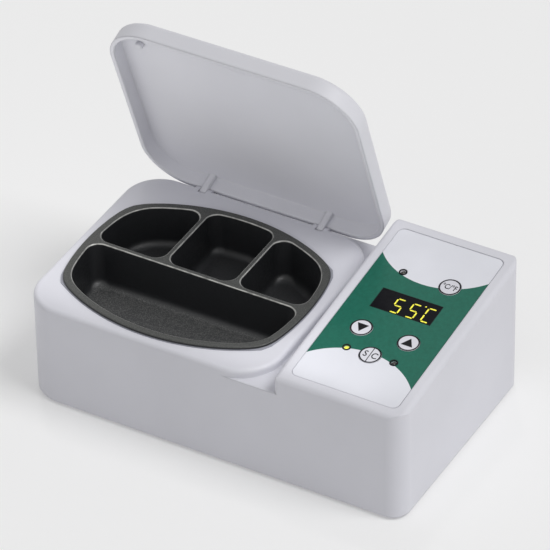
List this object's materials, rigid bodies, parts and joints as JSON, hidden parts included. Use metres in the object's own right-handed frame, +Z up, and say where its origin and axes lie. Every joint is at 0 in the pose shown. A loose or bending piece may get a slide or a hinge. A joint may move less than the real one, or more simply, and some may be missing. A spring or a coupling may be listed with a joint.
{
  "type": "dental laboratory wax heater",
  "caption": "Bench wax heater: rounded plastic housing, non-stick oval pot with wells under a hinged lid, and a sloping panel with display, keys and indicators.",
  "frame": {"origin": "on the surface under the rubber feet, at the middle of the whole object with its lid open, seen from above", "axes": "+X to the right along the longest side, +Y to the back, +Z up; the operator stands on the -Y side"},
  "size_m": [0.24, 0.1504, 0.1965],
  "materials": {
    "shell_plastic": "fine satin moulding",
    "base_plastic": "fine texture",
    "foot_rubber": "matte",
    "zinc_steel": "zinc plated",
    "coated_aluminium": "dark non-stick coating on cast metal",
    "gasket_silicone": "matte",
    "heater_silicone": "matte",
    "bare_aluminium": "plain",
    "black_plastic": "satin",
    "printed_overlay": "satin printed film, green and white",
    "tinted_window": "smooth dark window",
    "lens_off": "clear tinted lens, unlit",
    "lens_lit": "yellow lens, lit",
    "key_white": "printed satin film",
    "circuit_board": "solder mask",
    "transformer_iron": "varnished laminations",
    "relay_plastic": "plain",
    "terminal_plastic": "plain",
    "contact_brass": "nickel over brass"
  },
  "bodies": {
    "base": {"housing": "shell_plastic", "base_plate": "base_plastic", "foot_front_left": "foot_rubber", "foot_front_right": "foot_rubber", "foot_rear_left": "foot_rubber", "foot_rear_right": "foot_rubber", "base_screw_1": "zinc_steel", "base_screw_2": "zinc_steel", "base_screw_3": "zinc_steel", "base_screw_4": "zinc_steel", "pot": "coated_aluminium", "pot_gasket": "gasket_silicone", "heater_foil": "heater_silicone", "heater_clamp": "bare_aluminium", "clamp_screw": "zinc_steel", "probe": "bare_aluminium", "cutout": "black_plastic", "hinge_pin_left": "zinc_steel", "hinge_pin_right": "zinc_steel", "overlay": "printed_overlay", "display_window": "tinted_window", "display_module": "black_plastic", "led_unit": "lens_off", "led_heat": "lens_lit", "led_timer": "lens_off", "key_switch_unit": "black_plastic", "key_switch_down": "black_plastic", "key_switch_up": "black_plastic", "key_switch_set": "black_plastic", "control_board": "circuit_board", "board_screw_1": "zinc_steel", "board_screw_2": "zinc_steel", "board_screw_3": "zinc_steel", "board_screw_4": "zinc_steel", "power_board": "circuit_board", "transformer": "transformer_iron", "relay": "relay_plastic", "capacitor": "black_plastic", "terminal_block": "terminal_plastic", "inlet": "black_plastic", "inlet_pins": "contact_brass", "inlet_screw_left": "zinc_steel", "inlet_screw_right": "zinc_steel", "rocker_frame": "black_plastic"},
    "lid": {"lid": "shell_plastic", "lid_nub_left": "shell_plastic", "lid_nub_right": "shell_plastic"},
    "rocker": {"rocker": "black_plastic"},
    "key_unit": {"key_unit": "key_white"},
    "key_down": {"key_down": "key_white"},
    "key_up": {"key_up": "key_white"},
    "key_set": {"key_set": "key_white"}
  },
  "joints": [
    {"name": "lid_hinge", "type": "hinge", "parent": "base", "child": "lid", "pos_m": [-0.0425, 0.0618, 0.064], "axis": [1, 0, 0], "range_deg": [-20, 70.5]},
    {"name": "rocker_tip", "type": "hinge", "parent": "base", "child": "rocker", "pos_m": [0.04, 0.0608, 0.03], "axis": [1, 0, 0], "range_deg": [-20, 0]},
    {"name": "key_unit_press", "type": "slide", "parent": "base", "child": "key_unit", "axis": [0, 0.108, -0.9942], "range_m": [0, 0.0005], "stiffness_N_per_m": 600, "springref_m": -0.0002},
    {"name": "key_down_press", "type": "slide", "parent": "base", "child": "key_down", "axis": [0, 0.108, -0.9942], "range_m": [0, 0.0005], "stiffness_N_per_m": 600, "springref_m": -0.0002},
    {"name": "key_up_press", "type": "slide", "parent": "base", "child": "key_up", "axis": [0, 0.108, -0.9942], "range_m": [0, 0.0005], "stiffness_N_per_m": 600, "springref_m": -0.0002},
    {"name": "key_set_press", "type": "slide", "parent": "base", "child": "key_set", "axis": [0, 0.108, -0.9942], "range_m": [0, 0.0005], "stiffness_N_per_m": 600, "springref_m": -0.0002}
  ]
}
